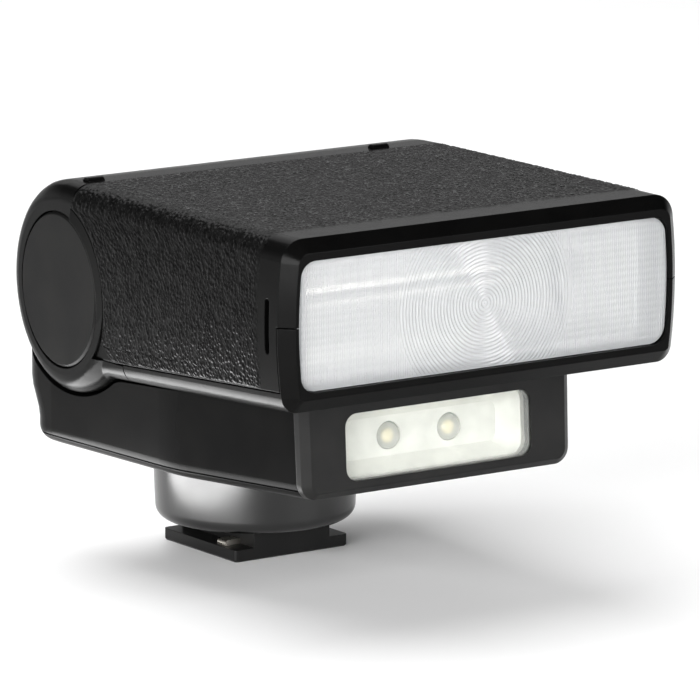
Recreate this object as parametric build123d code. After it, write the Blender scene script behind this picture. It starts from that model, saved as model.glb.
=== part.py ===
"""Compact camera flash with a tilting head, a video light in its base and a shoe foot.

Units are millimetres. +Z is up and the flash window faces -Y. The origin is the centre of the
shoe foot's underside. Each piece is a solid, or a group of equal solids, in a node of its own.
"""

from build123d import *
from math import cos, radians, sin, sqrt
import os

# --- driving dimensions ---------------------------------------------------------------------
FOOT_W, FOOT_L, FOOT_T = 18.6, 17.8, 1.7      # shoe plate, ISO 518 width
COLUMN_W = 12.4                               # stem between shoe plate and neck
NECK_BOTTOM, BASE_BOTTOM = 4.0, 16.3          # heights of the neck's two ends
NECK_R_LOW, NECK_R_TOP = 13.7, 14.2

BASE_FRONT, BASE_REAR, BASE_RIM = -43.3, 14.4, 31.0
BASE_HALF_FRONT, BASE_HALF_MID, BASE_HALF_REAR = 21.45, 27.6, 29.2
BASE_MID_Y, BASE_REAR_Y = -21.0, 6.0
REAR_STEPS = ((19.6, 12.5), (20.9, 12.8), (23.6, 14.1), (25.0, BASE_REAR))  # height, rear of the base
COVER_T, COVER_GAP = 1.2, 0.15                # bottom cover and the seam above it
BASE_WALL = 1.4
PANEL_LEAN, PANEL_T = 3.0, 1.6                # front panel leans back, degrees
POCKET_HALF, POCKET_LOW, POCKET_TOP = 23.2, 17.8, 24.6
POCKET_Y, REAR_WALL_Y = 12.0, 10.6            # control pocket in the rear of the base

HINGE_Y, HINGE_Z, RING_R = 0.8, 38.9, 14.4    # tilt axis, along X
TOP_Z = HINGE_Z + RING_R
HEAD_FRONT, HEAD_HALF, HEAD_HALF_REAR, BOW_R = -54.1, 31.9, 29.8, 71.4
HEAD_MID_Z, HEAD_UNDER_Z, UNDER_SLOPE = 42.0, 30.8, 0.062
TAPER_Y, HEAD_REAR = -13.0, HINGE_Y + RING_R
HEAD_WALL, CRADLE_GAP, SEAM = 1.6, 0.5, 0.14
REAR_SEAM_Y, REAR_SEAM_R = -2.6, 11.8         # joint between upper cover and rear cover
BUMPER_X, BUMPER_Y = (-26.5, 20.0), -0.9
BEZEL_CHAMFER, WINDOW_HALF, WINDOW_H, WINDOW_R = 1.7, 29.75, 17.2, 2.3
CAP_R, CAP_T, CAP_PROUD = 10.45, 1.2, 0.15
CAP_Y, CAP_Z = HINGE_Y + 0.4, HINGE_Z - 0.3

DRUM_R, DRUM_HALF, SHAFT_R = 12.4, 13.0, 3.0  # fixed half of the hinge
TOWER_HALF_Y, SLOT_HALF_X = 5.6, 13.6
CHEEK_IN, CHEEK_OUT, CHEEK_R = 14.0, 16.0, 12.5
RUN_FIT = 0.05                                # radial clearance of turning pins

DOOR_HALF, DOOR_REAR, DOOR_AXIS_Y = 20.4, -15.0, -35.7
DOOR_BARREL_R = 1.4
DOOR_AXIS_Z = BASE_BOTTOM + DOOR_BARREL_R
LED_X, LED_Z = 4.9, 22.7
LED_W, LED_H = 30.0, 9.0

BUTTON_Z, BUTTON_TRAVEL, SWITCH_TRAVEL = 20.6, 0.5, 3.0
BUTTONS = {                                   # name: (x, radius)
    "test_button": (-9.2, 2.3),
    "mode_button": (-2.8, 1.8),
    "minus_button": (2.8, 1.8),
    "plus_button": (8.0, 1.8),
}
SWITCH_X = -19.0
LAMPS_X = (-2.8, 2.8)
BOARD_PARTS = ((-11, -28, 5, 4, 1.2), (-3, -27, 4, 4, 1.5), (4, -28.5, 3, 2, 1.0), (5, -23, 6, 4, 1.8))
FIT = 0.08                                    # clearance of sliding buttons
BIG = 80.0

parts = {}


# --- helpers --------------------------------------------------------------------------------
def block(x, y, z):
    """Box between the low and high value of each axis."""
    size = (x[1] - x[0], y[1] - y[0], z[1] - z[0])
    centre = ((x[0] + x[1]) / 2, (y[0] + y[1]) / 2, (z[0] + z[1]) / 2)
    return Pos(*centre) * Box(*size)


def rod_x(radius, x0, x1, y, z):
    """Cylinder along X."""
    return Pos((x0 + x1) / 2, y, z) * Rot(0, 90, 0) * Cylinder(radius, x1 - x0)


def rod_y(radius, y0, y1, x, z):
    """Cylinder along Y."""
    return Pos(x, (y0 + y1) / 2, z) * Rot(90, 0, 0) * Cylinder(radius, y1 - y0)


def rod_z(radius, z0, z1, x, y):
    """Upright cylinder."""
    return Pos(x, y, (z0 + z1) / 2) * Cylinder(radius, z1 - z0)


def across(face):
    """Side view (Y, Z) outline stretched over the whole width."""
    return extrude(Plane.YZ * face, amount=BIG / 2, both=True)


def group(shapes):
    return Compound(children=list(shapes))


def single(shape):
    """The largest solid of a cut, without loose offcuts."""
    return max(shape.solids(), key=lambda s: s.volume)


def corner(face, y, z):
    """The outline's vertex nearest to a point."""
    return min(face.vertices(), key=lambda v: (v.X - y) ** 2 + (v.Y - z) ** 2)


# --- outer forms ----------------------------------------------------------------------------
def under_z(y):
    """Height of the head's flat underside."""
    return HEAD_UNDER_Z - UNDER_SLOPE * (y - HEAD_FRONT)


def head_side():
    """Side view of the head: flat top, round rear, slanting underside."""
    rear_low = (HINGE_Y, under_z(HINGE_Y))
    lines = Polyline((HEAD_FRONT, HEAD_UNDER_Z), (HEAD_FRONT, TOP_Z), (HINGE_Y, TOP_Z), rear_low, close=True)
    face = make_face(lines) + Pos(HINGE_Y, HINGE_Z) * Circle(RING_R)
    notch_y = HINGE_Y - sqrt(RING_R**2 - (HINGE_Z - under_z(-9.2)) ** 2)
    return fillet(corner(face, notch_y, under_z(notch_y)), 5.0)


def head_section(half_mid, low, high, top_radius, low_radius=0.0):
    """Front view of the head: sides bow out at mid height, on an arc of BOW_R."""

    def half(z):
        return half_mid - BOW_R + sqrt(BOW_R**2 - (z - HEAD_MID_Z) ** 2)

    right = ThreePointArc((half(low), low), (half_mid, HEAD_MID_Z), (half(high), high))
    left = ThreePointArc((-half(high), high), (-half_mid, HEAD_MID_Z), (-half(low), low))
    top = Line((half(high), high), (-half(high), high))
    bottom = Line((-half(low), low), (half(low), low))
    face = make_face([right, top, left, bottom])
    face = fillet(face.vertices().group_by(Axis.Y)[-1], top_radius)
    if low_radius:
        face = fillet(face.vertices().group_by(Axis.Y)[0], low_radius)
    return face


def head_plan(half, half_rear, front, rear):
    """Top view of the head with sides that close in towards the rear."""
    right = [(half, front), (half, TAPER_Y), (half_rear, rear)]
    left = [(-x, y) for x, y in reversed(right)]
    return extrude(make_face(Polyline(*right, *left, close=True)), amount=BIG)


def rear_zone(gap=0.0):
    """Side view of the part of the head behind the leather area."""
    disc = Pos(HINGE_Y, HINGE_Z) * Circle(REAR_SEAM_R + gap)
    behind = Pos(REAR_SEAM_Y - gap + 20, HINGE_Z) * Rectangle(40, 40)
    strip = Pos(-14.6 - gap + 15, 24) * Rectangle(30, 2 * (30.75 + gap - 24))
    return disc + behind + strip


def lower_zone(gap=0.0):
    """Side view of the lower shell: a strip under the leather and the bezel's lower half."""
    lip_y = HEAD_FRONT + BEZEL_CHAMFER + 0.2
    points = [
        (HEAD_FRONT - 2, 20),
        (HEAD_FRONT - 2, HEAD_MID_Z + gap),
        (lip_y + gap, HEAD_MID_Z + gap),
        (lip_y + gap, 33.45 + gap),
        (-9.0, 30.5 + gap),
        (-9.0, 20),
    ]
    return make_face(Polyline(*points, close=True))


def head_form():
    side = across(head_side())
    section = head_section(HEAD_HALF, 22.0, TOP_Z, 3.2)
    front = extrude(Plane.XZ.offset(-REAR_SEAM_Y) * section, amount=REAR_SEAM_Y - HEAD_FRONT) & side
    flanks = [f for f in front.faces() if abs(f.center().X) > 31]
    low = [e for f in flanks for e in f.edges() if e.center().Z < HEAD_UNDER_Z and e.center().Y < REAR_SEAM_Y - 0.1]
    front = fillet(low, 2.4)
    front = chamfer(front.faces().sort_by(Axis.Y)[0].edges(), BEZEL_CHAMFER)
    rear = rod_x(RING_R, -BIG / 2, BIG / 2, HINGE_Y, HINGE_Z)
    rear += block((-BIG / 2, BIG / 2), (TAPER_Y, HINGE_Y), (HINGE_Z, TOP_Z))
    rear = rear & head_plan(HEAD_HALF, HEAD_HALF_REAR, HEAD_FRONT, HEAD_REAR)
    rear = rear & block((-BIG, BIG), (TAPER_Y + 0.6, BIG), (0, BIG))
    sides = [e for e in rear.edges() if abs(e.center().X) > 28]
    rims = [e for e in sides if e.center().Y > TAPER_Y + 1]
    return front + (fillet(rims, 2.6) & across(rear_zone()))


def head_cavity():
    side = across(offset(head_side(), amount=-HEAD_WALL))
    plan = head_plan(30.1, 27.4, HEAD_FRONT + 1.8, HEAD_REAR)
    section = head_section(30.1, 23.0, TOP_Z - HEAD_WALL - 0.1, 2.0)
    bore = extrude(Plane.XZ.offset(-HEAD_REAR) * section, amount=BIG)
    return side & plan & bore


def base_plan(rear, inset=0.0):
    """Top view of the base, widening from the front panel to the rear corners."""
    slope = (BASE_HALF_MID - BASE_HALF_FRONT) / (BASE_MID_Y - BASE_FRONT)
    right = [
        (BASE_HALF_FRONT - 2 * slope, BASE_FRONT - 2),
        (BASE_HALF_MID, BASE_MID_Y),
        (BASE_HALF_REAR, BASE_REAR_Y),
        (BASE_HALF_REAR, rear),
    ]
    left = [(-x, y) for x, y in reversed(right)]
    face = make_face(Polyline(*right, *left, close=True))
    face = fillet(face.vertices().group_by(Axis.Y)[-1], 5.0)
    face = fillet([v for v in face.vertices() if abs(v.Y - BASE_MID_Y) < 0.1], 25.0)
    return offset(face, amount=-inset) if inset else face


def base_side():
    """Side view of the base: leaning front and a cradle under the ring."""
    lean = sin(radians(PANEL_LEAN)) * 7
    points = [
        (BASE_FRONT - lean, BASE_BOTTOM),
        (BASE_FRONT + lean, BASE_RIM),
        (BASE_REAR + 1, BASE_RIM),
        (BASE_REAR + 1, BASE_BOTTOM),
    ]
    face = make_face(Polyline(*points, close=True))
    return face - offset(head_side(), amount=CRADLE_GAP)


def base_form():
    first_z, first_y = REAR_STEPS[0]
    last_z, last_y = REAR_STEPS[-1]
    foot = extrude(Plane.XY.offset(BASE_BOTTOM) * base_plan(first_y), amount=first_z - BASE_BOTTOM)
    low = foot.faces().sort_by(Axis.Z)[0]
    foot = fillet([e for e in low.edges() if e.center().Y > BASE_FRONT - 0.5], 2.2)
    step = loft([Plane.XY.offset(z) * base_plan(y) for z, y in REAR_STEPS], ruled=True)
    rim = extrude(Plane.XY.offset(last_z) * base_plan(last_y), amount=BASE_RIM - last_z)
    body = (foot + step + rim) & across(base_side())
    front = [e for e in body.edges() if e.center().Y < BASE_FRONT + 0.3 and e.length > 8]
    return chamfer([e for e in front if abs(e.center().X) > BASE_HALF_FRONT - 0.5], 0.9)


def base_cavity():
    plan = extrude(Plane.XY.offset(BASE_BOTTOM) * base_plan(REAR_STEPS[0][1], BASE_WALL), amount=20)
    open_floor = Pos(-15.25, BASE_BOTTOM) * Rectangle(52.5, 8)
    return plan & across(offset(base_side(), amount=-BASE_WALL) + open_floor)


# --- shoe foot and neck ---------------------------------------------------------------------
def make_foot():
    screws_at = [(x, y) for x in (-4.3, 4.3) for y in (-7.3, 7.3)]
    pins_at = [(0, 0, 1.2)] + [(x, y, 0.8) for x in (-3.6, 3.6) for y in (-3.4, 3.4)]
    plate = block((-FOOT_W / 2, FOOT_W / 2), (-FOOT_L / 2, FOOT_L / 2), (0, FOOT_T))
    plate = fillet(plate.edges().filter_by(Axis.Z), 0.6)
    column = block((-COLUMN_W / 2, COLUMN_W / 2), (-FOOT_L / 2, FOOT_L / 2), (FOOT_T, NECK_BOTTOM))
    foot = chamfer((plate + column).edges().group_by(Axis.Z)[0], 0.25)
    foot -= block((-5.4, 5.4), (-5.6, 5.6), (0, 1.2))
    screws = [rod_z(1.25, 0.1, 0.9, x, y) + rod_z(0.75, 0.9, 9.0, x, y) for x, y in screws_at]
    for x, y in screws_at:
        foot -= rod_z(1.25, 0, 0.9, x, y) + rod_z(0.75, 0.9, NECK_BOTTOM, x, y)
    insert = block((-5.4, 5.4), (-5.6, 5.6), (0, 1.2))
    pins = [rod_z(r, 0, 1.2, x, y) for x, y, r in pins_at]
    for pin in pins:
        insert -= pin
    leaf = block((-8.6, -COLUMN_W / 2), (-5.4, -3.4), (FOOT_T, FOOT_T + 0.7))
    leaf = fillet(leaf.edges().filter_by(Axis.Y).group_by(Axis.Z)[-1].sort_by(Axis.X)[0], 0.5)
    parts["shoe_foot"] = foot
    parts["contact_block"] = insert
    parts["contact_pins"] = group(pins)
    parts["ground_spring"] = leaf
    parts["foot_screws"] = group(screws)

    height = BASE_BOTTOM - NECK_BOTTOM
    collar = Pos(0, 0, NECK_BOTTOM + height / 2) * Cone(NECK_R_LOW, NECK_R_TOP, height)
    collar = fillet(collar.edges().sort_by(Axis.Z)[0], 1.8)
    collar -= rod_z(11.4, 10.0, BASE_BOTTOM, 0, 0)
    for x, y in screws_at:
        collar -= rod_z(0.75, NECK_BOTTOM - 1, 9.0, x, y)
    parts["neck_collar"] = collar


# --- base -----------------------------------------------------------------------------------
def front_frame():
    """Plane on the front panel, centred on the video light, normal pointing out."""
    lean = radians(PANEL_LEAN)
    return Plane(origin=(0, BASE_FRONT, LED_Z), x_dir=(1, 0, 0), z_dir=(0, -cos(lean), sin(lean)))


def front_slab(width, height, near, far, radius=0.0):
    """Rounded slab parallel to the front panel, between two depths behind its face."""
    sketch = Rectangle(width, height)
    if radius:
        sketch = RectangleRounded(width, height, radius)
    return front_frame() * Pos(0, 0, -far) * extrude(sketch, amount=far - near)


def control_holes():
    """Openings for the buttons, switch, lamps and charging socket."""
    cut = []
    for x, radius in BUTTONS.values():
        cut.append(rod_y(radius + FIT, REAR_WALL_Y - 0.5, POCKET_Y + 2, x, BUTTON_Z))
    slot_low, slot_high = SWITCH_X - 1.0, SWITCH_X + SWITCH_TRAVEL + 1.0
    cut.append(block((slot_low, slot_high), (9, 15), (BUTTON_Z - 0.9, BUTTON_Z + 0.9)))
    cut.append(block((12.4, 21.6), (9, 15), (BUTTON_Z - 1.7, BUTTON_Z + 1.7)))
    cut += [rod_y(0.6, 9, 15, x, 23.5) for x in LAMPS_X]
    return cut


def base_posts():
    """Screw posts inside the base: x, y, radius."""
    return [(x, y, 1.8) for x, y in ((-18.2, -39.3), (18.2, -39.3), (-25.0, 5.6), (25.0, 5.6))]


def make_base_shells():
    form = base_form()
    cavity = base_cavity()
    split_z = BASE_BOTTOM + COVER_T
    panel_cut = front_slab(BIG, BIG, -10, PANEL_T)

    window_hole = front_slab(LED_W, LED_H, -2, PANEL_T + 1, 1.8)
    parts["front_panel"] = (form & panel_cut) - window_hole

    behind = form - front_slab(BIG, BIG, -10, PANEL_T)
    bay = block((-DOOR_HALF - 0.15, DOOR_HALF + 0.15), (DOOR_AXIS_Y, DOOR_REAR + 0.15), (0, split_z + 0.01))
    bay += rod_x(DOOR_BARREL_R + 0.12, -DOOR_HALF - 0.15, DOOR_HALF + 0.15, DOOR_AXIS_Y, DOOR_AXIS_Z)
    swing = (DOOR_AXIS_Y - DOOR_BARREL_R - 0.25, DOOR_AXIS_Y)
    bay += block((-DOOR_HALF - 0.15, DOOR_HALF + 0.15), swing, (0, DOOR_AXIS_Z))
    cover = behind & block((-BIG, BIG), (-BIG, BIG), (0, split_z))
    for side in (-1, 1):
        xs = sorted((side * (DOOR_HALF + 0.15), side * (DOOR_HALF + 0.95)))
        cover += block(xs, (-36.6, -34.8), (split_z, split_z + 1.4))
    cover -= bay
    cover -= rod_x(0.6 + RUN_FIT, -DOOR_HALF - 0.9, DOOR_HALF + 0.9, DOOR_AXIS_Y, DOOR_AXIS_Z)

    housing = behind & block((-BIG, BIG), (-BIG, BIG), (split_z + COVER_GAP, BIG))
    housing -= cavity
    rear_wall = block((-24.6, 24.6), (REAR_WALL_Y, POCKET_Y + 0.5), (split_z + COVER_GAP, 25.5))
    housing += rear_wall & form
    housing -= block((-POCKET_HALF, POCKET_HALF), (POCKET_Y, BIG), (POCKET_LOW, POCKET_TOP))
    tower_y = (HINGE_Y - TOWER_HALF_Y - 0.2, HINGE_Y + TOWER_HALF_Y + 0.2)
    housing -= block((-DRUM_HALF - 0.2, DRUM_HALF + 0.2), tower_y, (BASE_BOTTOM, BASE_RIM))
    housing = single(housing)
    for x, y, radius in base_posts():
        post = rod_z(radius, split_z, 26.0, x, y) & cavity
        housing += post - block((-BIG, BIG), (-BIG, BIG), (0, split_z))
    for hole in control_holes():
        housing -= hole
    screws = []
    for x, y, radius in base_posts():
        screw = rod_z(1.3, BASE_BOTTOM + 0.15, BASE_BOTTOM + 0.85, x, y)
        screw += rod_z(0.7, BASE_BOTTOM + 0.85, 22.0, x, y)
        screws.append(screw)
        cover -= rod_z(1.3, 0, BASE_BOTTOM + 0.85, x, y) + rod_z(0.7, 0, 22.0, x, y)
        housing -= rod_z(0.7, 0, 22.0, x, y)
    parts["base_housing"] = single(housing)
    parts["bottom_cover"] = single(cover)
    parts["bottom_screws"] = group(screws)


def make_battery_bay():
    door = block((-DOOR_HALF, DOOR_HALF), (DOOR_AXIS_Y, DOOR_REAR), (BASE_BOTTOM, BASE_BOTTOM + COVER_T))
    door += rod_x(DOOR_BARREL_R, -DOOR_HALF, DOOR_HALF, DOOR_AXIS_Y, DOOR_AXIS_Z)
    door += rod_x(0.6, -DOOR_HALF - 0.8, DOOR_HALF + 0.8, DOOR_AXIS_Y, DOOR_AXIS_Z)
    grip = [block((-6, 6), (y, y + 0.5), (BASE_BOTTOM, BASE_BOTTOM + 0.35)) for y in (-19, -18, -17)]
    for groove in grip:
        door -= groove
    parts["battery_door"] = door
    pack = block((-19.6, 19.6), (-33.6, -15.4), (17.8, 25.8))
    parts["battery_pack"] = fillet(pack.edges().filter_by(Axis.X), 2.4)
    leaves = [block((19.6, 20.5), (y - 0.9, y + 0.9), (20.0, 24.4)) for y in (-28.5, -24.5, -20.5)]
    parts["battery_contacts"] = group(leaves)
    parts["contact_carrier"] = block((20.5, 21.6), (-31.0, -18.0), (19.0, 25.4))


def make_video_light():
    depth = PANEL_T
    window = front_slab(LED_W - 0.16, LED_H - 0.16, 0.35, depth, 1.7)
    parts["led_window"] = window + front_slab(LED_W + 1.6, LED_H + 0.5, depth, depth + 0.8, 2.2)
    near, far = depth + 0.8, depth + 3.6
    tray = front_slab(LED_W + 1.6, LED_H + 0.5, near, far, 2.2)
    mouth = front_frame() * Pos(0, 0, -near) * RectangleRounded(LED_W, LED_H - 0.2, 1.6)
    floor = front_frame() * Pos(0, 0, -far + 0.5) * RectangleRounded(LED_W - 5, LED_H - 3.6, 1.2)
    tray -= loft([mouth.face(), floor.face()])
    emitters = []
    for x in (-LED_X, LED_X):
        spot = front_frame() * Pos(x, 0, -far)
        tray -= spot * extrude(Circle(1.9), amount=1)
        dome = Pos(0, 0, 0.3) * Sphere(1.6) & Pos(0, 0, 2) * Box(4, 4, 4)
        emitters.append(spot * (dome + extrude(Circle(1.8), amount=0.3)))
    parts["led_reflector"] = tray
    parts["led_emitters"] = group(emitters)
    parts["led_board"] = front_slab(LED_W, LED_H, far, far + 0.8)


def make_hinge_bracket():
    low, top = BASE_BOTTOM + COVER_T, HINGE_Z
    ys = (HINGE_Y - TOWER_HALF_Y, HINGE_Y + TOWER_HALF_Y)
    bracket = block((-15, 15), (-7.5, 7.2), (low, low + 1.6))
    bracket += block((-DRUM_HALF, DRUM_HALF), ys, (low, top))
    bracket += rod_x(DRUM_R, -DRUM_HALF, DRUM_HALF, HINGE_Y, HINGE_Z)
    hollow = rod_x(DRUM_R - 1.5, 1.2, DRUM_HALF, HINGE_Y, HINGE_Z)
    hollow -= rod_x(6.0, 1.2, DRUM_HALF, HINGE_Y, HINGE_Z)
    bracket -= hollow
    bracket -= mirror(hollow, Plane.YZ)
    for side in (-1, 1):
        xs = sorted((side * 2.0, side * 10.0))
        bracket -= block(xs, (HINGE_Y - 3.8, HINGE_Y + 3.8), (low - 1, HINGE_Z - DRUM_R + 2.2))
    bracket -= rod_x(SHAFT_R, -20, 20, HINGE_Y, HINGE_Z)
    parts["hinge_bracket"] = bracket
    parts["hinge_shaft"] = rod_x(SHAFT_R, -19.9, 19.9, HINGE_Y, HINGE_Z)

    def both_sides(radius, x0, x1):
        rings = [rod_x(radius, *sorted((s * x0, s * x1)), HINGE_Y, HINGE_Z) for s in (-1, 1)]
        return group(ring - parts["hinge_shaft"] for ring in rings)

    parts["friction_washers"] = both_sides(6.0, DRUM_HALF, CHEEK_IN)
    parts["spring_washers"] = both_sides(5.0, CHEEK_OUT, CHEEK_OUT + 0.8)
    nuts = []
    for side in (-1, 1):
        start = Plane(origin=(side * (CHEEK_OUT + 0.8), HINGE_Y, HINGE_Z), x_dir=(0, 1, 0), z_dir=(side, 0, 0))
        nuts.append(start * extrude(RegularPolygon(5.0, 6), amount=2.6) - parts["hinge_shaft"])
    parts["hinge_nuts"] = group(nuts)


def make_controls():
    plate = block((-POCKET_HALF + 0.2, POCKET_HALF - 0.2), (POCKET_Y, POCKET_Y + 0.8), (POCKET_LOW + 0.2, POCKET_TOP - 0.2))
    for hole in control_holes():
        plate -= hole
    parts["rear_panel"] = plate
    flange_y = REAR_WALL_Y - 0.8
    for name, (x, radius) in BUTTONS.items():
        flange = rod_y(radius + 0.5, flange_y, flange_y + 0.7, x, BUTTON_Z)
        cap = rod_y(radius, flange_y + 0.7, 13.5, x, BUTTON_Z)
        cap = fillet(cap.edges().sort_by(Axis.Y)[-1], 0.4)
        parts[name] = flange + cap
    knob = block((SWITCH_X - 2.2, SWITCH_X + 2.2), (POCKET_Y + 0.9, POCKET_Y + 2.1), (BUTTON_Z - 1.5, BUTTON_Z + 1.5))
    for i in range(3):
        x = SWITCH_X - 1.2 + 1.2 * i
        knob -= block((x - 0.25, x + 0.25), (POCKET_Y + 1.7, POCKET_Y + 3), (BUTTON_Z - 2, BUTTON_Z + 2))
    knob += block((SWITCH_X - 0.9, SWITCH_X + 0.9), (flange_y, POCKET_Y + 1), (BUTTON_Z - 0.8, BUTTON_Z + 0.8))
    knob += block((SWITCH_X - 2.6, SWITCH_X + 2.6), (flange_y, flange_y + 0.7), (BUTTON_Z - 1.5, BUTTON_Z + 1.5))
    parts["power_switch"] = knob
    board_y = 7.6
    parts["control_board"] = block((-22, 22), (board_y, board_y + 1.0), (18.1, 23.9))
    domes = [rod_y(1.9, board_y + 1, board_y + 1.6, x, BUTTON_Z) for x, _ in BUTTONS.values()]
    parts["dome_switches"] = group(domes)
    parts["slide_contact"] = block((-21.8, -13.2), (board_y + 1, board_y + 1.9), (19.1, 22.1))
    socket = block((12.5, 21.5), (board_y + 1, 12.6), (BUTTON_Z - 1.6, BUTTON_Z + 1.6))
    socket = fillet(socket.edges().filter_by(Axis.Y), 1.4)
    socket -= fillet(block((12.9, 21.1), (board_y + 1.6, 13), (BUTTON_Z - 1.2, BUTTON_Z + 1.2)).edges().filter_by(Axis.Y), 1.1)
    socket += block((14.0, 20.0), (board_y + 1.6, 12.2), (BUTTON_Z - 0.35, BUTTON_Z + 0.35))
    parts["charge_socket"] = socket
    parts["indicator_lenses"] = group(rod_y(0.6, REAR_WALL_Y, POCKET_Y + 0.9, x, 23.5) for x in LAMPS_X)


# --- head -----------------------------------------------------------------------------------
def cap_frame(side):
    """Plane of the hinge cap's outer face beside the ring, normal pointing out."""
    slope = (HEAD_HALF - HEAD_HALF_REAR) / (HEAD_REAR - TAPER_Y)
    x = HEAD_HALF - slope * (CAP_Y - TAPER_Y) + CAP_PROUD
    return Plane(origin=(side * x, CAP_Y, CAP_Z), x_dir=(0, 0, 1), z_dir=(side, slope, 0))


def tower_slot():
    """Sector left open in the rear cover so that the tower clears over the whole tilt."""
    reach = RING_R + 2
    angles = [-118 + (28 + 118) * i / 4 for i in range(5)]
    spread = reach / cos(radians(146 / 8))
    rim = [(HINGE_Y + spread * cos(radians(a)), HINGE_Z + spread * sin(radians(a))) for a in angles]
    sector = make_face(Polyline((HINGE_Y, HINGE_Z), *rim, close=True))
    return extrude(Plane.YZ * sector, amount=SLOT_HALF_X, both=True)


def make_head_shells():
    form = head_form()
    cavity = head_cavity()
    window = extrude(Plane.XZ.offset(-HEAD_FRONT - 4) * window_outline(0), amount=8)
    wall = form - cavity - window
    rear = wall & across(rear_zone())
    rear -= tower_slot()
    for side, name in ((-1, "left"), (1, "right")):
        frame = cap_frame(side)
        rear -= frame * Pos(0, 0, -CAP_T) * extrude(Circle(CAP_R + 0.2), amount=5)
        cap = frame * Pos(0, 0, -CAP_T) * extrude(Circle(CAP_R), amount=CAP_T)
        edge = cap.edges().sort_by(Axis.X)[-1 if side > 0 else 0]
        parts["hinge_cap_" + name] = chamfer(edge, 0.3)
    parts["head_rear_cover"] = single(rear)

    front = wall - across(rear_zone(SEAM))
    lower = front & across(lower_zone())
    upper = front - across(lower_zone(SEAM))
    for side in (-1, 1):
        slot = Plane(origin=(side * (HEAD_HALF - 1.1), -49.9, 41.9), x_dir=(0, 0, 1), z_dir=(side, 0, 0))
        upper -= slot * extrude(SlotOverall(7.2, 1.0), amount=4)
    bumpers = []
    for x in BUMPER_X:
        bump = rod_x(0.9, x - 1.25, x + 1.25, BUMPER_Y, TOP_Z - 0.4)
        bumpers.append(bump - parts["head_rear_cover"])
    parts["top_bumpers"] = group(single(b) for b in bumpers)

    screws = []
    for x in (-24.0, 24.0):
        y = -28.9
        low = under_z(y)
        upper += rod_z(2.0, low + 2.2, TOP_Z - HEAD_WALL + 0.1, x, y)
        screw = rod_z(1.4, low + 0.2, low + 1.0, x, y) + rod_z(0.75, low + 1.0, low + 7.0, x, y)
        screws.append(screw)
        lower -= rod_z(1.4, 0, low + 1.0, x, y) + rod_z(0.75, 0, low + 7, x, y)
        upper -= rod_z(0.75, 0, low + 7, x, y)
    parts["head_upper_cover"] = single(upper)
    parts["head_lower_shell"] = single(lower)
    parts["head_screws"] = group(screws)


def make_cheeks(cavity):
    for side, name in ((-1, "left"), (1, "right")):
        xs = sorted((side * CHEEK_IN, side * CHEEK_OUT))
        foot_xs = sorted((side * CHEEK_IN, side * (CHEEK_OUT + 3.5)))
        cheek = rod_x(CHEEK_R, *xs, HINGE_Y, HINGE_Z)
        cheek += block(xs, (-30, HINGE_Y), (31.6, 36.4))
        cheek += block(xs, (-30, -19), (28, 32)) & cavity
        cheek += block(foot_xs, (-30, -19.5), (28, 31.2)) & cavity
        cheek -= rod_x(SHAFT_R + RUN_FIT, -20, 20, HINGE_Y, HINGE_Z)
        parts["hinge_cheek_" + name] = single(cheek)


def window_outline(inset):
    """Front view of the flash window, bowed like the head's sides."""
    half_h = WINDOW_H / 2 - inset
    low, high = HEAD_MID_Z - half_h, HEAD_MID_Z + half_h
    return head_section(WINDOW_HALF - inset, low, high, WINDOW_R, WINDOW_R)


def make_flash_unit():
    front = HEAD_FRONT + 1.8
    lens_plane = Plane.XZ.offset(-front)
    flange = head_section(WINDOW_HALF + 0.2, HEAD_MID_Z - 9.2, HEAD_MID_Z + 9.2, 2.4, 2.4)
    lens = extrude(lens_plane * window_outline(0.1), amount=1.3) + extrude(lens_plane * flange, amount=-1.3)
    parts["flash_lens"] = lens

    mouth = front + 1.6
    depth, half_h, skin = 17.3, 8.0, 0.7
    outer = Pos(mouth, HEAD_MID_Z) * Ellipse(depth, half_h)
    inner = Pos(mouth, HEAD_MID_Z) * Ellipse(depth - skin, half_h - skin)
    rear_half = Pos(mouth + 20, HEAD_MID_Z) * Rectangle(40, 40)
    trough = extrude(Plane.YZ * ((outer - inner) & rear_half), amount=27.0, both=True)
    end = extrude(Plane.YZ.offset(26.3) * (inner & rear_half), amount=skin)
    reflector = trough + end + mirror(end, Plane.YZ)
    tube_y = mouth + 13.6
    tube = rod_x(2.0, -28.0, 28.0, tube_y, HEAD_MID_Z)
    parts["flash_reflector"] = reflector - tube
    boots = [rod_x(3.2, *sorted((s * 27.0, s * 29.0)), tube_y, HEAD_MID_Z) - tube for s in (-1, 1)]
    parts["flash_tube"] = tube
    parts["tube_boots"] = group(boots)

    rear_y = mouth + depth
    carrier = block((-27, 27), (rear_y, rear_y + 1.2), (33.0, 51.0))
    carrier -= block((-20, 20), (rear_y - 1, rear_y + 2), (37, 47))
    for side in (-1, 1):
        for z in (33.0, 50.1):
            xs = sorted((side * 24.6, side * 27.0))
            carrier += block(xs, (mouth + 0.4, rear_y), (z, z + 0.9))
    parts["reflector_carrier"] = carrier


def make_head_electronics():
    parts["main_capacitor"] = fillet(rod_x(6.5, -20, 14, -22.2, 43.4).edges(), 0.8)
    core = block((16.4, 26.4), (-26.4, -16.6), (39.5, 42.0)) + block((16.4, 26.4), (-26.4, -16.6), (46.0, 48.5))
    core += block((19.4, 23.4), (-23.5, -19.5), (42.0, 46.0))
    winding = rod_z(4.6, 42.0, 46.0, 21.4, -21.5) - block((19.4, 23.4), (-23.5, -19.5), (41, 47))
    parts["transformer_core"] = core
    parts["transformer_winding"] = winding
    coil = rod_y(2.8, -26.0, -17.0, -25.0, 44.0)
    parts["trigger_coil"] = coil
    parts["head_board"] = block((-13.2, 13.2), (-30.0, -16.0), (32.2, 33.2))
    chips = [block((x, x + w), (y, y + d), (33.2, 33.2 + h)) for x, y, w, d, h in BOARD_PARTS]
    parts["board_components"] = group(chips)


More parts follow.
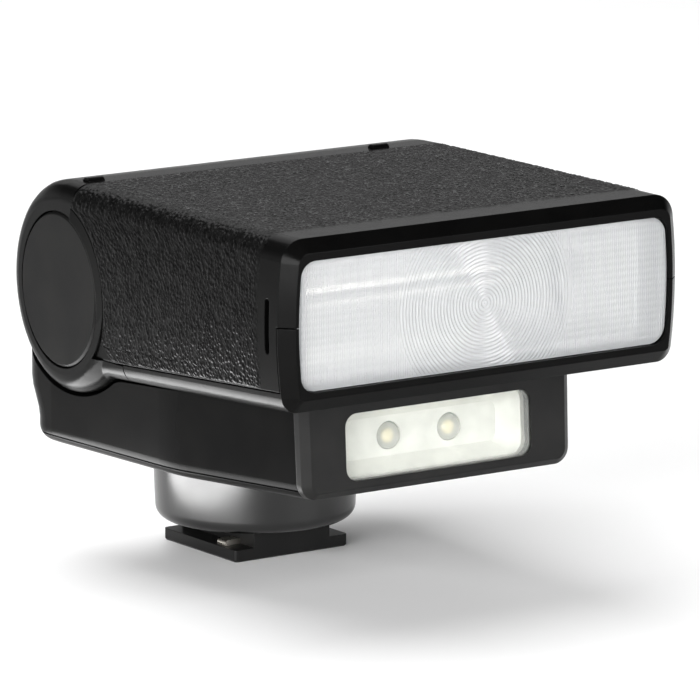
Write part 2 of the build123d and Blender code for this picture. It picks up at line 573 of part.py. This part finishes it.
def main():
    make_foot()
    make_base_shells()
    make_battery_bay()
    make_video_light()
    make_hinge_bracket()
    make_controls()
    make_head_shells()
    make_cheeks(head_cavity())
    make_flash_unit()
    make_head_electronics()
    os.makedirs("parts", exist_ok=True)
    for name, shape in parts.items():
        export_step(shape, "parts/" + name + ".step")


if __name__ == "__main__":
    main()
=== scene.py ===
"""Looks of a compact camera flash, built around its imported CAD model. Metres, +Z up."""

from math import atan2, cos, pi, radians, sin, sqrt

import bpy
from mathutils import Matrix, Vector, noise


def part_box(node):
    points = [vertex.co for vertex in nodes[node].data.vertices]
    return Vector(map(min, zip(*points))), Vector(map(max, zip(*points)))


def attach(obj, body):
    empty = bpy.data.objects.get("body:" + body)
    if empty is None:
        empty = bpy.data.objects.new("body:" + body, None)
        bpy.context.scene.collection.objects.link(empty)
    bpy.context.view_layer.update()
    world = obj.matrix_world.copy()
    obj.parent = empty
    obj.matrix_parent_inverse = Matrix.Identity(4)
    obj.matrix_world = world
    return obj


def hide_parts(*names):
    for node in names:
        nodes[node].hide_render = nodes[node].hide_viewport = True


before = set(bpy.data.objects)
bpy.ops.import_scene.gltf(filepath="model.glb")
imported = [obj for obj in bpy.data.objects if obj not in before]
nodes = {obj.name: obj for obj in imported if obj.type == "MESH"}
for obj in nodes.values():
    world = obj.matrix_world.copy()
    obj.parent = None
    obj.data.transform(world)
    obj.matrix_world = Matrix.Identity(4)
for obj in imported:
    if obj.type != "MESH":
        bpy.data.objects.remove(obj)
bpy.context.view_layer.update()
MM = 0.001


def span(node, axis):
    """Low and high value of a node's box along one axis, in millimetres."""
    low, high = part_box(node)
    return low[axis] / MM, high[axis] / MM


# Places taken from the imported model, in millimetres
HINGE_Y, HINGE_Z = sum(span("hinge_shaft", 1)) / 2, sum(span("hinge_shaft", 2)) / 2
TOP_Z = span("head_upper_cover", 2)[1]
HEAD_FRONT, HEAD_BACK = span("head_upper_cover", 1)
HALF = span("head_upper_cover", 0)[1]
LENS_FRONT, LENS_BACK = span("flash_lens", 1)

# Form of the head's skin, in millimetres
MID_Z, BOW_R, EDGE_R = 42.0, 71.4, 3.2
GRAIN_FRONT, GRAIN_FRONT_SIDE = HEAD_FRONT + 6.3, HEAD_FRONT + 5.8
GRAIN_BACK = HEAD_BACK - 0.16
GRAIN_GAP, GRAIN_FOOT_Y, GRAIN_FOOT_R = 0.24, -10.7, 1.8    # above the seam, and its rear corner
REAR_ARC = 12.06
SEAM_REAR, SEAM_FRONT = (-9.0, 30.5), (HEAD_FRONT + 1.9, 33.45)    # seam below the grain: y, z

# Flash lens, in millimetres
LENS_HALF, LENS_HALF_HEIGHT, LENS_R, LENS_T = HALF - 2.25, 8.5, 2.2, 1.3
FLANGE_HALF, FLANGE_HALF_HEIGHT, FLANGE_R = LENS_HALF + 0.3, 9.2, 2.4
RING_PITCH, RIB_PITCH, WAVE_PITCH, RING_REACH = 0.5, 0.36, 0.9, 12.5

LAMP_LEAN = radians(3)    # the front panel leans back


# --- material helpers -----------------------------------------------------------------------
class Shader:
    """A principled material whose inputs are set by name, with small procedural layers."""

    def __init__(self, name, color, roughness, **inputs):
        self.material = bpy.data.materials.new(name)
        self.material.use_nodes = True
        self.tree = self.material.node_tree
        self.bsdf = self.tree.nodes["Principled BSDF"]
        self.set("Base Color", (*color, 1.0))
        self.set("Roughness", roughness)
        for key, value in inputs.items():
            self.set(key.replace("_", " "), value)
        coord = self.tree.nodes.new("ShaderNodeTexCoord")
        self.place = coord.outputs["Object"]
        self.normal = None

    def set(self, socket, value):
        self.bsdf.inputs[socket].default_value = value

    def link(self, a, b):
        self.tree.links.new(a, b)

    def noise(self, size_mm, detail=3.0, stretch=(1, 1, 1)):
        """Noise whose features are about size_mm wide."""
        mapping = self.tree.nodes.new("ShaderNodeMapping")
        mapping.inputs["Scale"].default_value = [s / (size_mm * MM) for s in stretch]
        self.link(self.place, mapping.inputs["Vector"])
        texture = self.tree.nodes.new("ShaderNodeTexNoise")
        texture.inputs["Scale"].default_value = 1.0
        texture.inputs["Detail"].default_value = detail
        self.link(mapping.outputs["Vector"], texture.inputs["Vector"])
        return texture.outputs["Fac"]

    def ramp(self, source, low, high, at=(0.35, 0.65)):
        """Maps a 0 to 1 value to a colour or a number between low and high."""
        ramp = self.tree.nodes.new("ShaderNodeValToRGB")
        for element, place, value in zip(ramp.color_ramp.elements, at, (low, high)):
            element.position = place
            element.color = (*value, 1) if isinstance(value, tuple) else (value, value, value, 1)
        self.link(source, ramp.inputs["Fac"])
        return ramp.outputs["Color"]

    def vary_color(self, size_mm, low, high, detail=3.0):
        self.link(self.ramp(self.noise(size_mm, detail), low, high), self.bsdf.inputs["Base Color"])
        return self

    def vary_roughness(self, size_mm, low, high, detail=3.0):
        self.link(self.ramp(self.noise(size_mm, detail), low, high), self.bsdf.inputs["Roughness"])
        return self

    def bump(self, size_mm, depth_mm, detail=2.0, strength=1.0, stretch=(1, 1, 1)):
        bump = self.tree.nodes.new("ShaderNodeBump")
        bump.inputs["Distance"].default_value = depth_mm * MM
        bump.inputs["Strength"].default_value = strength
        self.link(self.noise(size_mm, detail, stretch), bump.inputs["Height"])
        if self.normal:
            self.link(self.normal, bump.inputs["Normal"])
        self.normal = bump.outputs["Normal"]
        self.link(self.normal, self.bsdf.inputs["Normal"])
        return self

    def soft_edges(self, radius_mm):
        """Shades sharp moulded edges with the small radius that they have."""
        bevel = self.tree.nodes.new("ShaderNodeBevel")
        bevel.samples = 4
        bevel.inputs["Radius"].default_value = radius_mm * MM
        self.normal = bevel.outputs["Normal"]
        self.link(self.normal, self.bsdf.inputs["Normal"])
        return self


def satin(name, shade, roughness, grain=0.16, depth=0.004, edge=0.18, shine=0.25):
    """Black moulded plastic with a fine spark-eroded texture."""
    shader = Shader(name, (shade, shade, shade), roughness, Specular_IOR_Level=shine)
    if edge:
        shader.soft_edges(edge)
    shader.vary_color(6.0, (shade * 0.86,) * 3, (shade * 1.14, shade * 1.13, shade * 1.1))
    shader.vary_roughness(2.5, roughness - 0.012, roughness + 0.012)
    return shader.bump(grain, depth)


def metal(name, color, roughness, brushed=(1, 1, 1)):
    shader = Shader(name, color, roughness, Metallic=1.0)
    shader.vary_roughness(1.0, roughness * 0.8, min(1.0, roughness * 1.25))
    return shader.bump(0.25, 0.003, stretch=brushed)


def plastic(name, color, roughness, **inputs):
    shader = Shader(name, color, roughness, **inputs)
    dark = tuple(c * 0.9 for c in color)
    shader.vary_color(3.0, dark, tuple(min(1.0, c * 1.06) for c in color))
    return shader.bump(0.3, 0.004)


def clear(name, color, roughness):
    return Shader(name, color, roughness, Transmission_Weight=1.0, IOR=1.49)


def veil(name, color, roughness, cover):
    """Thin clear plastic that scatters part of the light and lets the rest straight through."""
    return Shader(name, color, roughness, Alpha=cover, Specular_IOR_Level=1.0)


# --- materials ------------------------------------------------------------------------------
def make_materials():
    m = {}
    m["shell"] = satin("shell_black", 0.004, 0.24, shine=0.08)
    m["panel"] = satin("front_black", 0.014, 0.34, grain=0.12, depth=0.003, shine=0.2)
    m["cap"] = satin("cap_charcoal", 0.008, 0.36, grain=0.10, depth=0.0015, edge=0.15, shine=0.07)
    m["neck"] = satin("neck_black", 0.006, 0.24, grain=0.08, depth=0.0006, edge=0.2, shine=1.0)
    m["foot"] = satin("foot_black", 0.010, 0.34, grain=0.12, depth=0.002, edge=0.15, shine=0.25)
    m["leather"] = leather_material()
    m["bracket"] = satin("bracket_black", 0.014, 0.32, grain=0.12)
    m["button"] = satin("button_charcoal", 0.03, 0.5, grain=0.1, edge=0.12)
    m["gold"] = metal("gold_plate", (0.83, 0.62, 0.28), 0.22)
    m["steel"] = metal("spring_steel", (0.66, 0.63, 0.57), 0.3)
    m["screw"] = metal("screw_black", (0.16, 0.16, 0.165), 0.34)
    m["silver"] = metal("reflector_silver", (0.93, 0.93, 0.92), 0.16, brushed=(0.1, 1, 1))
    m["brass"] = metal("washer_brass", (0.72, 0.55, 0.27), 0.35)
    m["lens"] = veil("lens_clear", (0.58, 0.59, 0.60), 0.05, 0.5)
    m["led_lens"] = veil("led_lens_clear", (0.9, 0.92, 0.89), 0.12, 0.12)
    m["dome"] = veil("led_dome_clear", (0.9, 0.9, 0.84), 0.06, 0.35)
    m["tube"] = clear("tube_glass", (0.97, 0.96, 0.93), 0.02)
    m["tray"] = plastic("tray_white", (0.76, 0.77, 0.71), 0.42)
    m["phosphor"] = plastic("led_phosphor", (0.92, 0.80, 0.42), 0.4)
    m["board"] = plastic("board_green", (0.02, 0.11, 0.05), 0.3)
    m["chip"] = plastic("chip_black", (0.02, 0.02, 0.02), 0.45)
    m["sleeve"] = plastic("capacitor_sleeve", (0.02, 0.02, 0.03), 0.25)
    m["ferrite"] = plastic("ferrite_grey", (0.07, 0.07, 0.07), 0.6)
    m["copper"] = metal("copper_winding", (0.62, 0.28, 0.12), 0.3, brushed=(1, 1, 12))
    m["rubber"] = plastic("boot_silicone", (0.68, 0.68, 0.64), 0.55)
    m["wrap"] = plastic("battery_wrap", (0.05, 0.055, 0.07), 0.28)
    m["amber"] = plastic("test_amber", (0.7, 0.2, 0.02), 0.3, Transmission_Weight=0.3)
    m["lamp"] = plastic("lamp_clear", (0.55, 0.6, 0.55), 0.2, Transmission_Weight=0.6)
    return {key: shader.material for key, shader in m.items()}


def leather_material():
    shader = Shader("leather_black", (0.005, 0.005, 0.005), 0.20, Specular_IOR_Level=0.08)
    shader.vary_color(1.2, (0.004, 0.004, 0.004), (0.008, 0.008, 0.008))
    shader.vary_roughness(0.8, 0.17, 0.26)
    return shader.bump(0.12, 0.006)


NODE_MATERIALS = {
    "shell": ["base_housing", "bottom_cover", "head_rear_cover", "head_lower_shell", "battery_door",
              "head_upper_cover", "top_bumpers"],
    "panel": ["front_panel", "rear_panel"],
    "cap": ["hinge_cap_left", "hinge_cap_right"],
    "neck": ["neck_collar"],
    "foot": ["shoe_foot", "contact_block"],
    "bracket": ["hinge_bracket", "hinge_cheek_left", "hinge_cheek_right"],
    "button": ["mode_button", "plus_button", "minus_button", "power_switch"],
    "amber": ["test_button"],
    "gold": ["contact_pins", "battery_contacts"],
    "steel": ["ground_spring", "spring_washers", "dome_switches", "slide_contact", "charge_socket",
              "hinge_shaft"],
    "screw": ["foot_screws", "bottom_screws", "head_screws", "hinge_nuts"],
    "brass": ["friction_washers"],
    "led_lens": ["led_window"],
    "silver": ["flash_reflector"],
    "tube": ["flash_tube"],
    "tray": ["led_reflector"],
    "board": ["led_board", "control_board", "head_board"],
    "chip": ["board_components", "reflector_carrier", "contact_carrier"],
    "sleeve": ["main_capacitor"],
    "ferrite": ["transformer_core"],
    "copper": ["transformer_winding", "trigger_coil"],
    "rubber": ["tube_boots"],
    "wrap": ["battery_pack"],
    "lamp": ["indicator_lenses"],
}


def dress_nodes(materials):
    for key, names in NODE_MATERIALS.items():
        for name in names:
            slots = nodes[name].data.materials
            slots.clear()
            slots.append(materials[key])


# --- mesh helpers ---------------------------------------------------------------------------
def mesh_object(name, points_mm, faces, material, smooth=True):
    """Object from points in millimetres and faces of point indices."""
    mesh = bpy.data.meshes.new(name)
    mesh.from_pydata([Vector(p) * MM for p in points_mm], [], faces)
    mesh.validate()
    mesh.update()
    for face in mesh.polygons:
        face.use_smooth = smooth
    mesh.materials.append(material)
    obj = bpy.data.objects.new(name, mesh)
    bpy.context.scene.collection.objects.link(obj)
    return obj


def grid_faces(columns, rows):
    """Quads over a grid of points stored row by row."""
    faces = []
    for r in range(rows - 1):
        for a in range(r * columns, (r + 1) * columns - 1):
            faces.append((a, a + 1, a + 1 + columns, a + columns))
    return faces


def smoothstep(value):
    value = min(1.0, max(0.0, value))
    return value * value * (3 - 2 * value)


# --- leather grain --------------------------------------------------------------------------
def half_at(z):
    """Half width of the head at a height: its sides bow out."""
    return HALF - BOW_R + sqrt(BOW_R**2 - (z - MID_Z) ** 2)


CORNER_X = HALF - BOW_R + sqrt((BOW_R - EDGE_R) ** 2 - (TOP_Z - EDGE_R - MID_Z) ** 2)
CORNER_Z = TOP_Z - EDGE_R
SIDE_ANGLE = atan2(CORNER_Z - MID_Z, CORNER_X - (HALF - BOW_R))
SIDE_TOP_Z = MID_Z + BOW_R * sin(SIDE_ANGLE)


def grain_low(y):
    """Height of the grain's lower border, just above the seam."""
    (rear_y, rear_z), (front_y, front_z) = SEAM_REAR, SEAM_FRONT
    return rear_z + (front_z - rear_z) * (y - rear_y) / (front_y - rear_y) + GRAIN_GAP


def grain_rear(z, low):
    """How far back the grain reaches on the side: a straight seam, then an arc round the cap."""
    y = GRAIN_BACK
    rise = z - HINGE_Z
    if abs(rise) < REAR_ARC:
        y = min(y, HINGE_Y - sqrt(REAR_ARC**2 - rise**2))
    above = z - low
    if above < GRAIN_FOOT_R:
        drop = GRAIN_FOOT_R - above
        y = min(y, GRAIN_FOOT_Y - (GRAIN_FOOT_R - sqrt(max(0.0, GRAIN_FOOT_R**2 - drop**2))))
    return y


def section_path():
    """Samples of the head's section from the left seam over the top to the right seam.

    Each is (kind, value): side positions run 0 (top) to 1 (seam), corners are angles, top is x.
    """
    step = 0.15
    side = int(17 / step)
    arc = int(EDGE_R * (pi / 2 - SIDE_ANGLE) / 0.16)
    flat = int(2 * CORNER_X / step)
    path = [("side", -1, 1 - i / side) for i in range(side)]
    path += [("arc", -1, SIDE_ANGLE + (pi / 2 - SIDE_ANGLE) * i / arc) for i in range(arc)]
    path += [("top", 0, -CORNER_X + 2 * CORNER_X * i / flat) for i in range(flat + 1)]
    mirrored = [(kind, -sign, value) for kind, sign, value in reversed(path[:side + arc])]
    return path + mirrored


def skin_point(kind, sign, value, t):
    """Point, outward normal and distance to the nearest border, for t from front to rear."""
    if kind == "side":
        front, rear = GRAIN_FRONT_SIDE, -10.0
        for _ in range(4):
            low = grain_low(rear)
            z = SIDE_TOP_Z + value * (low - SIDE_TOP_Z)
            rear = grain_rear(z, low)
        y = front + t * (rear - front)
        low = grain_low(y)
        z = SIDE_TOP_Z + value * (low - SIDE_TOP_Z)
        angle = atan2(z - MID_Z, sqrt(BOW_R**2 - (z - MID_Z) ** 2))
        point = (sign * half_at(z), y, z)
        normal = (sign * cos(angle), 0, sin(angle))
        border = min(z - low, rear - y)
        return point, normal, border, y - front
    front, rear = GRAIN_FRONT_SIDE, GRAIN_BACK
    if kind == "top":
        blend = smoothstep((CORNER_X - abs(value)) / 2.0)
        front = GRAIN_FRONT_SIDE + (GRAIN_FRONT - GRAIN_FRONT_SIDE) * blend
    y = front + t * (rear - front)
    if kind == "arc":
        normal = (sign * cos(value), 0, sin(value))
        point = (sign * CORNER_X + EDGE_R * normal[0], y, CORNER_Z + EDGE_R * normal[2])
    else:
        normal = (0, 0, 1)
        point = (value, y, TOP_Z)
    return point, normal, rear - y, y - front


def pebble(point):
    """Leather relief, 0 in the creases to 1 on the pebbles."""
    warp = noise.noise_vector(Vector(point) * 0.9) * 0.3
    place = Vector(point) * 1.75 + warp
    near, second = noise.voronoi(place, distance_metric="DISTANCE")[0][:2]
    dome = smoothstep((second - near) * 2.4)
    broad = noise.noise(Vector(point) * 0.8) * 0.5 + 0.5
    return dome * (0.6 + 0.4 * broad)


def make_leather(material):
    path = section_path()
    rows = 300
    skin_lift, relief, fade_front, fade_edge = 0.02, 0.15, 1.6, 0.22
    points = []
    for row in range(rows):
        t = row / (rows - 1)
        for kind, sign, value in path:
            point, normal, border, ahead = skin_point(kind, sign, value, t)
            soft = smoothstep(ahead / fade_front) * smoothstep(border / fade_edge)
            lift = soft * (skin_lift + relief * pebble(point)) - (1 - soft) * 0.03
            points.append([p + lift * n for p, n in zip(point, normal)])
    faces = grid_faces(len(path), rows)
    skin = mesh_object("leather_grain", points, faces, material)
    flip_to(skin, Vector((0, 0, 1)))
    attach(skin, "head")


def flip_to(obj, outward):
    """Turns all faces over if most of them look away from a direction."""
    total = sum(face.area * face.normal.dot(outward) for face in obj.data.polygons)
    if total < 0:
        obj.data.flip_normals()


# --- flash window and video light -----------------------------------------------------------
def pane_half(z, half, half_height, radius):
    """Half width at a height of a bowed pane with rounded corners."""
    bow = half - BOW_R + sqrt(BOW_R**2 - (z - MID_Z) ** 2)
    inside = min(radius, max(0.0, half_height - abs(z - MID_Z)))
    return bow - radius + sqrt(radius**2 - (radius - inside) ** 2)


def pane_rows(half, half_height, radius, rows, columns):
    """Grid of (x, z) over the pane, row by row from the bottom."""
    grid = []
    for r in range(rows):
        z = MID_Z - half_height + 2 * half_height * r / (rows - 1)
        reach = pane_half(z, half, half_height, radius)
        grid += [(reach * (2 * c / (columns - 1) - 1), z) for c in range(columns)]
    return grid


def fresnel(x, z):
    """Relief of the flash lens: rings in the middle, ribs at both sides, 0 to 1."""
    radius = sqrt(x * x + (z - MID_Z) ** 2)
    rings = 0.5 - 0.5 * cos(2 * pi * radius / RING_PITCH)
    ribs = 0.5 - 0.5 * cos(2 * pi * x / RIB_PITCH)
    waves = 0.5 - 0.5 * cos(2 * pi * (z - MID_Z) / WAVE_PITCH)
    side = smoothstep((radius - RING_REACH) / 2.5)
    return (1 - side) * rings + side * (0.75 * ribs + 0.25 * waves)


def border_loop(rows, columns):
    """Indices round the edge of a grid."""
    last = rows - 1
    loop = list(range(columns))
    loop += [r * columns + columns - 1 for r in range(1, rows)]
    loop += [last * columns + c for c in range(columns - 2, -1, -1)]
    loop += [r * columns for r in range(last - 1, 0, -1)]
    return loop


def make_flash_lens(material):
    """Clear pane with a flange behind it, moulded with a Fresnel relief."""
    rows, columns, depth, edge = 140, 700, 0.16, 0.5
    grid = pane_rows(LENS_HALF, LENS_HALF_HEIGHT, LENS_R, rows, columns)
    points = []
    for x, z in grid:
        across = pane_half(z, LENS_HALF, LENS_HALF_HEIGHT, LENS_R) - abs(x)
        inset = min(LENS_HALF_HEIGHT - abs(z - MID_Z), across)
        rim = smoothstep(inset / edge)
        points.append((x, LENS_FRONT + 0.05 + (1 - rim) * 0.12 + rim * depth * (1 - fresnel(x, z)), z))
    faces = grid_faces(columns, rows)
    loop = border_loop(rows, columns)
    middle_y = LENS_FRONT + LENS_T
    flange = pane_rows(FLANGE_HALF, FLANGE_HALF_HEIGHT, FLANGE_R, rows, columns)
    rings = [loop]
    for y, outline in ((middle_y, grid), (middle_y, flange), (LENS_BACK, flange)):
        start = len(points)
        points += [(outline[i][0], y, outline[i][1]) for i in loop]
        rings.append(list(range(start, start + len(loop))))
    for a, b in zip(rings, rings[1:]):
        faces += [(a[i - 1], a[i], b[i], b[i - 1]) for i in range(len(loop))]
    faces.append(tuple(rings[-1]))
    lens = mesh_object("flash_lens_fresnel", points, faces, material)
    for face in lens.data.polygons[(rows - 1) * (columns - 1):]:
        face.use_smooth = False
    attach(lens, "head")
    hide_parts("flash_lens")


def turned(profile, centre, lean, steps=40):
    """Points and faces of a form turned about a lamp's axis: profile of (radius, height)."""
    points, faces = [], []
    for radius, height in profile:
        for s in range(steps):
            x, up = radius * cos(2 * pi * s / steps), radius * sin(2 * pi * s / steps)
            y = centre[1] - height * cos(lean) + up * sin(lean)
            points.append((centre[0] + x, y, centre[2] + up * cos(lean) + height * sin(lean)))
    for ring in range(len(profile) - 1):
        a, b = ring * steps, (ring + 1) * steps
        faces += [(a + s, a + (s + 1) % steps, b + (s + 1) % steps, b + s) for s in range(steps)]
    faces.append(tuple(range(steps))[::-1])
    faces.append(tuple(range(len(points) - steps, len(points))))
    return points, faces


def make_lamps(dome_material, die_material):
    """Two clear domed LEDs, each over a small yellow die."""
    left, right = span("led_emitters", 0)
    low, high = span("led_emitters", 2)
    radius, centre_z = (high - low) / 2, (low + high) / 2 - 0.05
    base_y = span("led_emitters", 1)[1] - 0.1
    arc = [pi / 2 * i / 12 for i in range(13)]
    dome = [(radius * cos(a) + 0.02, 0.2 + (radius - 0.25) * sin(a)) for a in arc]
    die = [(0.95, 0.05), (0.95, 0.35), (0.8, 0.45), (0.02, 0.5)]
    sets = (
        ("led_domes", [(radius, 0.0)] + dome, dome_material),
        ("led_dies", die, die_material),
    )
    for name, profile, material in sets:
        points, faces = [], []
        for x in (left + radius, right - radius):
            more, sides = turned(profile, (x, base_y, centre_z), LAMP_LEAN)
            faces += [tuple(i + len(points) for i in side) for side in sides]
            points += more
        piece = mesh_object(name, points, faces, material)
        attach(piece, "base")
        if name == "led_domes":
            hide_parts("led_emitters")


# --- stage ----------------------------------------------------------------------------------
def area_light(name, place, target, size, energy, color=(1, 1, 1)):
    light = bpy.data.lights.new(name, "AREA")
    light.shape = "RECTANGLE"
    light.size, light.size_y = size
    light.energy = energy
    light.color = color
    obj = bpy.data.objects.new(name, light)
    obj.location = place
    obj.rotation_euler = (Vector(target) - Vector(place)).to_track_quat("-Z", "Y").to_euler()
    bpy.context.scene.collection.objects.link(obj)
    return obj


def make_stage():
    material = bpy.data.materials.new("floor_white")
    material.use_nodes = True
    shader = material.node_tree.nodes["Principled BSDF"]
    shader.inputs["Base Color"].default_value = (0.9, 0.9, 0.9, 1)
    shader.inputs["Roughness"].default_value = 0.6
    reach = 3000.0
    corners = [(-reach, -reach, 0), (reach, -reach, 0), (reach, reach, 0), (-reach, reach, 0)]
    floor = mesh_object("floor", corners, [(0, 1, 2, 3)], material, smooth=False)


def make_world():
    world = bpy.data.worlds.new("studio")
    world.use_nodes = True
    tree = world.node_tree
    background = tree.nodes["Background"]
    coord = tree.nodes.new("ShaderNodeTexCoord")
    split = tree.nodes.new("ShaderNodeSeparateXYZ")
    ramp = tree.nodes.new("ShaderNodeValToRGB")
    tree.links.new(coord.outputs["Generated"], split.inputs["Vector"])
    tree.links.new(split.outputs["Z"], ramp.inputs["Fac"])
    ramp.color_ramp.elements[0].position = 0.0
    ramp.color_ramp.elements[0].color = (0.95, 0.95, 0.95, 1)
    ramp.color_ramp.elements[1].position = 0.35
    ramp.color_ramp.elements[1].color = (0.05, 0.05, 0.05, 1)
    tree.links.new(ramp.outputs["Color"], background.inputs["Color"])
    background.inputs["Strength"].default_value = 0.9
    bpy.context.scene.world = world


def make_camera():
    """Three-quarter view from the front left, a little above the object."""
    data = bpy.data.cameras.new("camera")
    data.sensor_width, data.lens = 36.0, 343.9
    data.clip_start, data.clip_end = 0.05, 20.0
    camera = bpy.data.objects.new("camera", data)
    camera.location = (-0.50193, -0.74331, 0.20685)
    heading, dip = radians(34.86), radians(11.34)
    look = Vector((sin(heading) * cos(dip), cos(heading) * cos(dip), -sin(dip)))
    camera.rotation_euler = look.to_track_quat("-Z", "Y").to_euler()
    bpy.context.scene.collection.objects.link(camera)
    bpy.context.scene.camera = camera


def make_lights():
    """Soft boxes around the object, with low cards for the underside and the neck's left."""
    middle = (0, -0.02, 0.035)
    area_light("left_box", (-0.88, -0.36, 0.25), middle, (0.9, 0.46), 15.0)
    area_light("overhead", (-0.1, 0.35, 1.15), middle, (1.2, 1.0), 12.0)
    area_light("top_box", (0.45, 0.75, 0.60), middle, (0.9, 0.5), 1.2)
    area_light("front_box", (0.45, -0.95, 0.55), middle, (0.5, 0.5), 4.5)
    front_card = area_light("low_card", (0.15, -0.55, 0.02), (0, -0.05, 0.035), (0.5, 0.12), 0.5)
    front_card.visible_camera = False
    above = (-0.047, -0.005, 1.0)
    left_card = area_light("left_card", (-0.047, -0.005, 0.002), above, (0.03, 0.08), 0.06)
    left_card.visible_camera = False


materials = make_materials()
dress_nodes(materials)
make_leather(materials["leather"])
make_flash_lens(materials["lens"])
make_lamps(materials["dome"], materials["phosphor"])
make_stage()
make_world()
make_camera()
make_lights()
view = bpy.context.scene.view_settings
view.view_transform = "Standard"
view.look = "Medium High Contrast"
